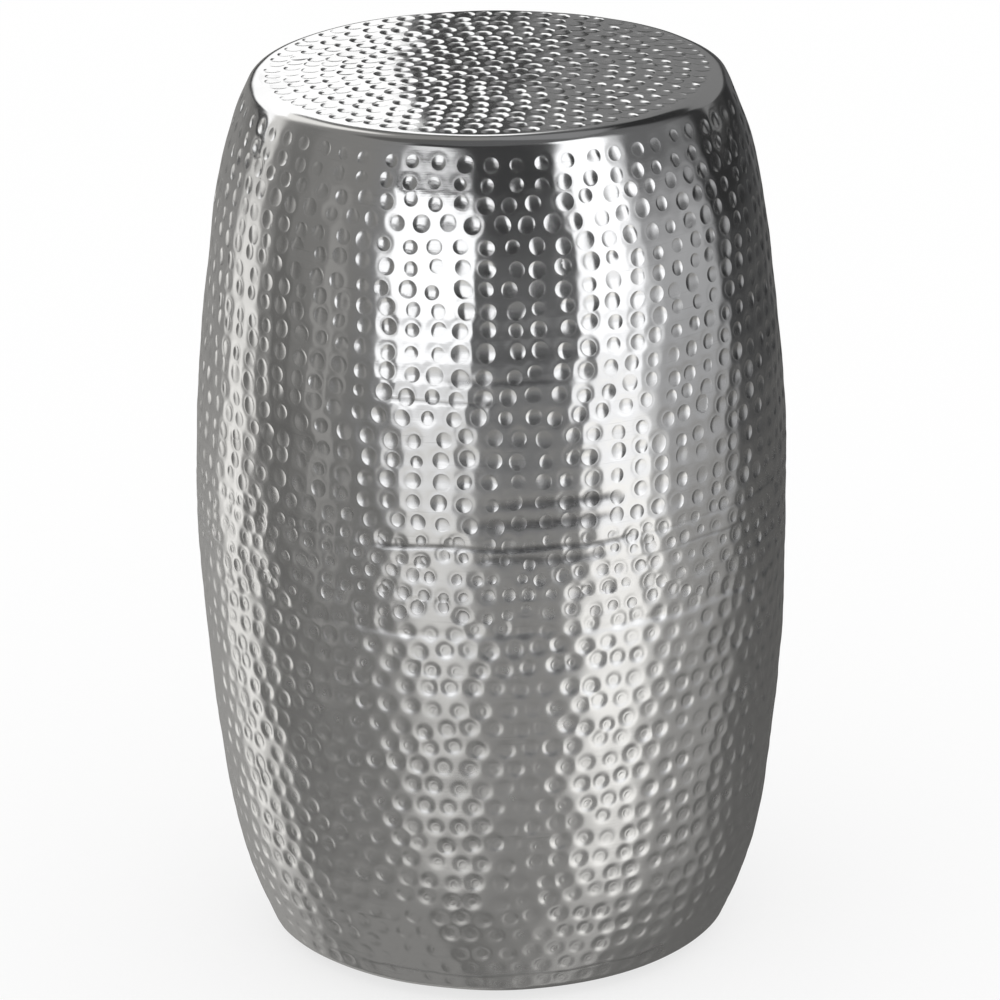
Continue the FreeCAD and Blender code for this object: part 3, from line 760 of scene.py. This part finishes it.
upper = shell("upper_shell_hammered", True)
lower = shell("lower_shell_hammered", False)
ring = weld("seam_weld_hammered")
for piece, node in ((upper, "upper_shell"), (lower, "lower_shell"), (ring, "seam_weld")):
    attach(piece, "root")
    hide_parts(node)

# ---- materials


def grey(level):
    """An opaque grey."""
    return (level, level, level, 1)


class Shader:
    """A material's node tree, with short calls to add and join nodes."""

    def __init__(self, name):
        self.material = bpy.data.materials.new(name)
        self.material.use_nodes = True
        self.tree = self.material.node_tree
        self.tree.nodes.clear()

    def add(self, kind, inputs=(), **settings):
        """A shader node. Its inputs are values or other nodes' outputs, by socket."""
        node = self.tree.nodes.new("ShaderNode" + kind)
        for key, value in settings.items():
            setattr(node, key, value)
        for socket, value in dict(inputs).items():
            if isinstance(value, bpy.types.NodeSocket):
                self.tree.links.new(value, node.inputs[socket])
            else:
                node.inputs[socket].default_value = value
        return node

    def maths(self, operation, *values):
        """One arithmetic node's output."""
        return self.add("Math", dict(enumerate(values)), operation=operation).outputs[0]

    def plus(self, one, other):
        """Two numbers added."""
        return self.maths("ADD", one, other)

    def times(self, one, other):
        """Two numbers multiplied."""
        return self.maths("MULTIPLY", one, other)

    def hypot(self, x, y):
        """The length of two numbers at a right angle."""
        return self.maths("SQRT", self.plus(self.times(x, x), self.times(y, y)))

    def over(self, share, under, above):
        """One number laid over another by a share."""
        return self.plus(self.times(under, self.maths("SUBTRACT", 1.0, share)), self.times(share, above))

    def between(self, value, low, high, to_low=0.0, to_high=1.0):
        """A number mapped smoothly from one range to another, and held at its ends."""
        inputs = {"Value": value, "From Min": low, "From Max": high, "To Min": to_low, "To Max": to_high}
        return self.add("MapRange", inputs, interpolation_type="SMOOTHSTEP").outputs["Result"]

    def mix_colour(self, share, one, other):
        """Two colours mixed."""
        return self.add("Mix", {0: share, 6: one, 7: other}, data_type="RGBA").outputs[2]

    def noise(self, vector, scale, detail=3.0, rough=0.5):
        """A noise texture's grey output."""
        inputs = {"Vector": vector, "Scale": scale, "Detail": detail, "Roughness": rough}
        return self.add("TexNoise", inputs).outputs["Fac"]

    def place(self):
        """The object's own coordinates, in metres."""
        return self.add("TexCoord").outputs["Object"]

    def stretched(self, vector, x, y, z):
        """Coordinates scaled along each axis."""
        return self.add("Mapping", {"Vector": vector, "Scale": (x, y, z)}).outputs["Vector"]

    def metal(self, tone, rough, relief, strength, distance):
        """A bare metal with this relief, on the material's output."""
        bump = self.add("Bump", {"Height": relief, "Strength": strength, "Distance": distance})
        shader = self.add("BsdfPrincipled", {
            "Base Color": tone, "Metallic": 1.0, "Roughness": rough, "Normal": bump.outputs[0],
        })
        return self.surface(shader.outputs[0])

    def surface(self, shader):
        """Puts a shader on the material's output."""
        self.add("OutputMaterial", {"Surface": shader})
        return self.material


# heights over which the finish changes: at the flat top, in the lower dents, and from satin to bright
TOP_HEIGHTS = 0.4765, 0.4785
LOWER_HEIGHTS = 0.20, 0.25
SATIN_HEIGHTS = 0.215, 0.400


def hammered_aluminium():
    """Polished spun aluminium: turned lines, smudges, scratches, duller dents and rims, and creases darkened
    by painted shade.
    """
    s = Shader("hammered_aluminium")
    place = s.place()
    parts = s.add("SeparateXYZ", {"Vector": place}).outputs
    height = parts[2]
    out = s.hypot(parts[0], parts[1])
    dent = s.add("Attribute", attribute_name="dent").outputs["Fac"]
    dirt = s.add("Attribute", attribute_name="dirt").outputs["Fac"]
    burr = s.add("Attribute", attribute_name="burr").outputs["Fac"]
    smudge = s.noise(place, 26.0, 4.0, 0.6)
    cloud = s.noise(place, 7.0, 3.0, 0.5)
    speck = s.noise(s.stretched(place, 900, 900, 2200), 1.0, 2.0, 0.7)
    peen = s.noise(place, 420.0, 3.0, 0.6)
    # the buffing wheel doesn't reach into the upper wall's dents
    below_top = s.between(height, *TOP_HEIGHTS, 1.0, 0.12)
    on_wall = s.times(below_top, s.between(height, *LOWER_HEIGHTS, 0.2, 1.0))
    in_dent = s.times(s.between(dent, 0.01 * MM, 0.11 * MM), on_wall)
    # turned lines: fine across the drum's height or its top's radius, very long round it
    rings = s.add("CombineXYZ", {"X": out, "Y": height}).outputs[0]
    broken = s.noise(place, 9.0, 2.0)
    shift = s.add("CombineXYZ", {"Z": s.times(broken, 0.004)}).outputs[0]
    line_place = s.add("VectorMath", {0: rings, 1: shift}, operation="ADD").outputs[0]
    lines = s.noise(line_place, 1700.0, 2.0, 0.6)
    coarse_lines = s.noise(line_place, 330.0, 3.0, 0.6)
    scratch = s.noise(s.stretched(place, 22, 22, 1500), 1.0, 3.0, 0.65)
    scratches = s.between(scratch, 0.60, 0.72)

    tone = s.mix_colour(cloud, (0.795, 0.795, 0.79, 1), grey(0.855))
    tone = s.mix_colour(s.times(in_dent, 0.12), tone, grey(0.60))
    tone = s.mix_colour(s.times(s.between(smudge, 0.55, 0.8), 0.22), tone, (0.63, 0.63, 0.625, 1))
    tone = s.mix_colour(s.times(scratches, 0.3), tone, grey(0.55))
    # painted shade: the creases are darkened towards a dark grey
    tone = s.mix_colour(s.times(dirt, s.between(peen, 0.3, 0.7, 0.75, 0.95)), tone, (0.22, 0.22, 0.225, 1))

    rough = s.between(smudge, 0.3, 0.75, 0.07, 0.13)
    satin = s.between(s.plus(height, s.times(smudge, 0.03)), *SATIN_HEIGHTS, 0.13, 0.0)
    rough = s.plus(rough, satin)
    rough = s.plus(rough, s.times(coarse_lines, 0.03))
    rough = s.plus(rough, s.times(in_dent, s.between(peen, 0.3, 0.7, 0.03, 0.08)))
    rough = s.plus(rough, s.times(dirt, 0.12))
    rough = s.plus(rough, s.times(s.times(burr, on_wall), s.between(satin, 0.0, 0.08, 0.07, 0.0)))

    relief = s.plus(s.times(lines, 0.5), s.times(coarse_lines, 1.5))
    relief = s.plus(relief, s.times(speck, 0.35))
    relief = s.plus(relief, s.times(in_dent, s.times(peen, 0.8)))
    return s.metal(tone, rough, relief, 0.25, 0.06 * MM)


def mill_aluminium():
    """Rolled aluminium strip: rolling lines along its length and dull patches."""
    s = Shader("mill_aluminium")
    place = s.place()
    grain = s.noise(s.stretched(place, 40, 40, 2500), 1.0, 3.0, 0.6)
    patch = s.noise(place, 30.0, 3.0)
    tone = s.mix_colour(patch, grey(0.66), (0.76, 0.76, 0.765, 1))
    tone = s.mix_colour(s.times(s.between(grain, 0.5, 0.7), 0.3), tone, grey(0.5))
    rough = s.between(patch, 0.3, 0.7, 0.34, 0.5)
    return s.metal(tone, rough, grain, 0.25, 0.05 * MM)


def foot_rubber():
    """Dark moulded rubber: a fine grain, paler scuffs where it meets the floor and dust."""
    s = Shader("foot_rubber")
    place = s.place()
    height = s.add("SeparateXYZ", {"Vector": place}).outputs[2]
    grain = s.noise(place, 2200.0, 3.0, 0.6)
    pebble = s.add("TexVoronoi", {"Vector": place, "Scale": 1500.0}).outputs["Distance"]
    dust = s.noise(place, 220.0, 5.0, 0.7)
    low = s.between(height, 0.0, 1.6 * MM, 1.0, 0.0)
    tone = s.mix_colour(grain, (0.018, 0.018, 0.019, 1), (0.045, 0.044, 0.043, 1))
    tone = s.mix_colour(s.times(s.between(dust, 0.52, 0.75), 0.35), tone, (0.2, 0.19, 0.18, 1))
    tone = s.mix_colour(s.times(low, s.between(dust, 0.35, 0.7, 0.05, 0.5)), tone, (0.16, 0.155, 0.15, 1))
    rough = s.between(grain, 0.3, 0.7, 0.5, 0.72)
    relief = s.plus(s.times(pebble, 0.6), grain)
    bump = s.add("Bump", {"Height": relief, "Strength": 0.35, "Distance": 0.12 * MM})
    shader = s.add("BsdfPrincipled", {
        "Base Color": tone, "Roughness": rough, "Normal": bump.outputs[0], "Specular IOR Level": 0.4,
    })
    return s.surface(shader.outputs[0])


def zinc_steel():
    """Bright zinc plating on steel: a cool grey with small crystals, a fine grain and dull brown stains."""
    s = Shader("zinc_steel")
    place = s.place()
    crystal = s.add("TexVoronoi", {"Vector": place, "Scale": 900.0}).outputs["Color"]
    shade = s.add("SeparateColor", {"Color": crystal}).outputs[0]
    fine = s.noise(place, 1600.0, 3.0)
    stain = s.noise(place, 260.0, 4.0, 0.65)
    tone = s.mix_colour(shade, (0.56, 0.58, 0.61, 1), (0.70, 0.715, 0.735, 1))
    tone = s.mix_colour(s.times(s.between(stain, 0.55, 0.8), 0.5), tone, (0.42, 0.40, 0.36, 1))
    rough = s.between(stain, 0.3, 0.8, 0.26, 0.5)
    return s.metal(tone, rough, fine, 0.3, 0.04 * MM)


def dress(objects, material):
    """Gives these objects one material."""
    for thing in objects:
        thing.data.materials.clear()
        thing.data.materials.append(material)


dress([upper, lower, ring], hammered_aluminium())
dress([nodes["joint_band"]], mill_aluminium())
dress([nodes[f"foot_{k}"] for k in (1, 2, 3, 4)], foot_rubber())
dress([nodes["foot_washers"], nodes["foot_screws"]], zinc_steel())

# ---- floor, light and reflected studio


def plane(name, corners):
    """A flat four-sided face through these corners."""
    mesh = bpy.data.meshes.new(name)
    mesh.from_pydata([tuple(c) for c in corners], [], [(0, 1, 2, 3)])
    made = linked(name, mesh)
    return made


SHADOW = 0.3            # how much of the drum's shadow the white floor keeps


def floor_paint():
    """White studio floor with a soft shadow. It can't be seen from below."""
    s = Shader("studio_floor")
    mottle = s.noise(s.place(), 3.0, 2.0)
    tone = s.mix_colour(mottle, grey(0.985), grey(1.0))
    paint = s.add("BsdfDiffuse", {"Color": tone})
    white = s.add("Emission", {"Color": grey(1.0), "Strength": 1.0})
    path = s.add("LightPath").outputs
    seen = s.maths("MAXIMUM", path["Is Camera Ray"], path["Is Glossy Ray"])
    seen = s.maths("MAXIMUM", seen, path["Is Transmission Ray"])
    lit = s.times(seen, 1.0 - SHADOW)
    top = s.add("MixShader", {0: lit, 1: paint.outputs[0], 2: white.outputs[0]})
    clear = s.add("BsdfTransparent")
    under = s.add("NewGeometry").outputs["Backfacing"]
    both = s.add("MixShader", {0: under, 1: top.outputs[0], 2: clear.outputs[0]})
    return s.surface(both.outputs[0])


FLOOR = 20.0            # half the floor's side
TENT = 24.0             # the radius of the tent of light round it
floor = plane("studio_floor", [(x * FLOOR, y * FLOOR, 0) for x, y in ((-1, -1), (1, -1), (1, 1), (-1, 1))])
dress([floor], floor_paint())
floor.visible_glossy = False

# What the polished metal mirrors: soft light panels and dark flags far round the drum, each over the last.
# Azimuth from the camera's side, half width, softness; elevation from, to, softness; levels at ELEVATIONS.
PANELS = [
    (-165, 34, 14, -90, 60, 6, (0.34, 0.32, 0.26, 0.20, 0.15)),
    (-73, 31, 14, -90, 60, 6, (0.25, 0.165, 0.20, 0.21, 0.23)),
    (-92, 6, 8, -50, 30, 10, (0.20, 0.13, 0.15, 0.16, 0.19)),
    (-68, 5, 6, -24, 14, 8, (0.30, 0.31, 0.32, 0.32, 0.30)),
    (-119, 9, 10, -90, 45, 6, (0.10, 1.08, 0.84, 0.66, 0.78)),
    (10, 26, 10, -90, 60, 6, (0.21, 0.25, 0.19, 0.12, 0.08)),
    (-122, 13, 16, 25, 66, 8, (0.95,) * 5),
    (-10, 68, 20, 44, 95, 8, (0.12,) * 5),
    (-3, 36, 8, 22, 46, 2, (0.05,) * 5),
    (-25, 12, 9, 25.5, 31, 4, (0.95,) * 5),
    (-22.5, 13, 4, -90, 21.5, 1.4, (0.14, 0.72, 0.84, 1.30, 1.32)),
    (-32, 8.5, 4, -6, 21.5, 1.4, (1.20, 1.20, 1.20, 1.30, 1.32)),
    (86, 24, 12, -90, 60, 6, (0.16, 0.30, 0.40, 0.42, 0.14)),
    (63, 5, 7, -90, 40, 12, (0.20, 0.55, 0.62, 0.72, 0.60)),
    (48, 12.5, 4, -90, 47, 3, (0.40, 1.14, 1.08, 1.34, 1.40)),
    (132, 28, 14, -90, 60, 6, (0.14, 0.115, 0.06, 0.03, 0.03)),
    (170, 12, 12, -90, 60, 6, (0.14, 0.11, 0.10, 0.10, 0.10)),
]
ELEVATIONS = (-54.0, -22.0, -7.0, -1.5, 22.0)
AMBIENT = 0.25          # the level where there is no panel
DEGREE = 180 / math.pi
WARM, COOL = (1.0, 0.985, 0.955, 1), (0.98, 0.985, 1.0, 1)
COOL_AZIMUTHS = -62.0, -35.0


def studio_glow():
    """The light panels, by the direction from the drum: azimuth from the camera's side and elevation."""
    s = Shader("studio_panels")
    parts = s.add("SeparateXYZ", {"Vector": s.place()}).outputs
    azimuth = s.times(s.maths("ARCTAN2", parts[0], s.times(parts[1], -1.0)), DEGREE)
    elevation = s.times(s.maths("ARCTAN2", parts[2], s.hypot(parts[0], parts[1])), DEGREE)
    climbs = [s.between(elevation, low, high) for low, high in zip(ELEVATIONS, ELEVATIONS[1:])]
    glow = AMBIENT
    for centre, half, soft, bottom, top, edge, levels in PANELS:
        off = s.maths("ABSOLUTE", s.maths("WRAP", s.maths("SUBTRACT", azimuth, float(centre)), 180.0, -180.0))
        share = s.between(off, half - soft / 2, half + soft / 2, 1.0, 0.0)
        share = s.times(share, s.between(elevation, top - edge / 2, top + edge / 2, 1.0, 0.0))
        share = s.times(share, s.between(elevation, bottom - edge / 2, bottom + edge / 2))
        tone = levels[0]
        for climb, low, high in zip(climbs, levels, levels[1:]):
            tone = s.plus(tone, s.times(climb, high - low))
        glow = s.over(share, glow, tone)
    cool = s.times(climbs[1], s.between(azimuth, *COOL_AZIMUTHS))
    tint = s.mix_colour(cool, WARM, COOL)
    light = s.add("Emission", {"Color": tint, "Strength": glow})
    s.material.cycles.emission_sampling = "NONE"
    return s.surface(light.outputs[0])


# the card behind the drum that its flat top mirrors: a white part, a dark gap and a grey part, left to right,
# over a dark foot and under a bright head
CARD_BACK, CARD_HALF, CARD_LOW, CARD_HIGH = 1.1, 2.2, 0.47, 1.7
WHITE_TO, DARK_TO, FOOT_TO, HEAD_FROM, HEAD_TO = -0.053, 0.030, 0.62, 1.12, 0.085
WHITE_SOFT, DARK_SOFT, FOOT_SOFT, HEAD_SOFT, HEAD_END_SOFT = 0.006, 0.02, 0.05, 0.08, 0.06
WHITE_LEVEL, DARK_LEVEL, GREY_LEVEL, FOOT_LEVEL, HEAD_LEVEL = 1.18, 0.06, 0.22, 0.05, 1.30


def card_glow():
    """The back card's light."""
    s = Shader("studio_back_card")
    across, _, up = s.add("SeparateXYZ", {"Vector": s.place()}).outputs
    left = s.between(across, WHITE_TO - WHITE_SOFT, WHITE_TO + WHITE_SOFT, WHITE_LEVEL, DARK_LEVEL)
    right = s.between(across, DARK_TO - DARK_SOFT, DARK_TO + DARK_SOFT, 0.0, GREY_LEVEL - DARK_LEVEL)
    level = s.plus(left, right)
    foot = s.between(up, FOOT_TO - FOOT_SOFT, FOOT_TO + FOOT_SOFT, 1.0, 0.0)
    head = s.times(s.between(up, HEAD_FROM - HEAD_SOFT, HEAD_FROM + HEAD_SOFT),
                   s.between(across, HEAD_TO - HEAD_END_SOFT, HEAD_TO + HEAD_END_SOFT, 1.0, 0.0))
    for share, other in ((foot, FOOT_LEVEL), (head, HEAD_LEVEL)):
        level = s.over(share, level, other)
    light = s.add("Emission", {"Color": grey(1.0), "Strength": level})
    s.material.cycles.emission_sampling = "NONE"
    return s.surface(light.outputs[0])


def reflected_only(thing):
    """Only mirrors see it: not the camera, not matt surfaces and not shadows."""
    thing.visible_camera = False
    thing.visible_diffuse = False
    thing.visible_shadow = False
    thing.visible_volume_scatter = False


def dome(name, radius):
    """A sphere round the whole set."""
    bpy.ops.mesh.primitive_uv_sphere_add(segments=64, ring_count=32, radius=radius, location=(0, 0, 0))
    made = bpy.context.object
    made.name = name
    return made


tent = dome("studio_tent", TENT)
dress([tent], studio_glow())
reflected_only(tent)
card = plane("studio_back_card", [
    (-CARD_HALF, CARD_BACK, CARD_LOW), (CARD_HALF, CARD_BACK, CARD_LOW),
    (CARD_HALF, CARD_BACK, CARD_HIGH), (-CARD_HALF, CARD_BACK, CARD_HIGH),
])
dress([card], card_glow())
reflected_only(card)

world = bpy.data.worlds.new("studio")
world.use_nodes = True
backdrop = world.node_tree.nodes["Background"].inputs
backdrop["Color"].default_value = grey(1.0)
backdrop["Strength"].default_value = 1.0
bpy.context.scene.world = world

# ---- camera, as fitted to the drum's outline
PICTURE = 1000          # the photograph's side, in pixels
ELEVATION = math.radians(20.113)
DISTANCE = 3.0458       # from the target, the middle of the drum
FOCAL_PIXELS = 5649.7
TARGET = Vector((0, 0, 0.240))
TARGET_PIXEL = (493.04, 500.22)
ROLL = math.radians(-0.78)
SENSOR = 36.0

camera = linked("camera", bpy.data.cameras.new("camera"))
back = Vector((0, -math.cos(ELEVATION), math.sin(ELEVATION)))
camera.location = TARGET + DISTANCE * back
camera.rotation_mode = "QUATERNION"
camera.rotation_quaternion = (-back).to_track_quat("-Z", "Y") @ Matrix.Rotation(ROLL, 3, "Z").to_quaternion()
camera.data.sensor_width = SENSOR
camera.data.lens = FOCAL_PIXELS * SENSOR / PICTURE
camera.data.shift_x = (PICTURE / 2 - TARGET_PIXEL[0]) / PICTURE
camera.data.shift_y = (TARGET_PIXEL[1] - PICTURE / 2) / PICTURE
bpy.context.scene.camera = camera
bpy.context.scene.view_settings.view_transform = "Standard"
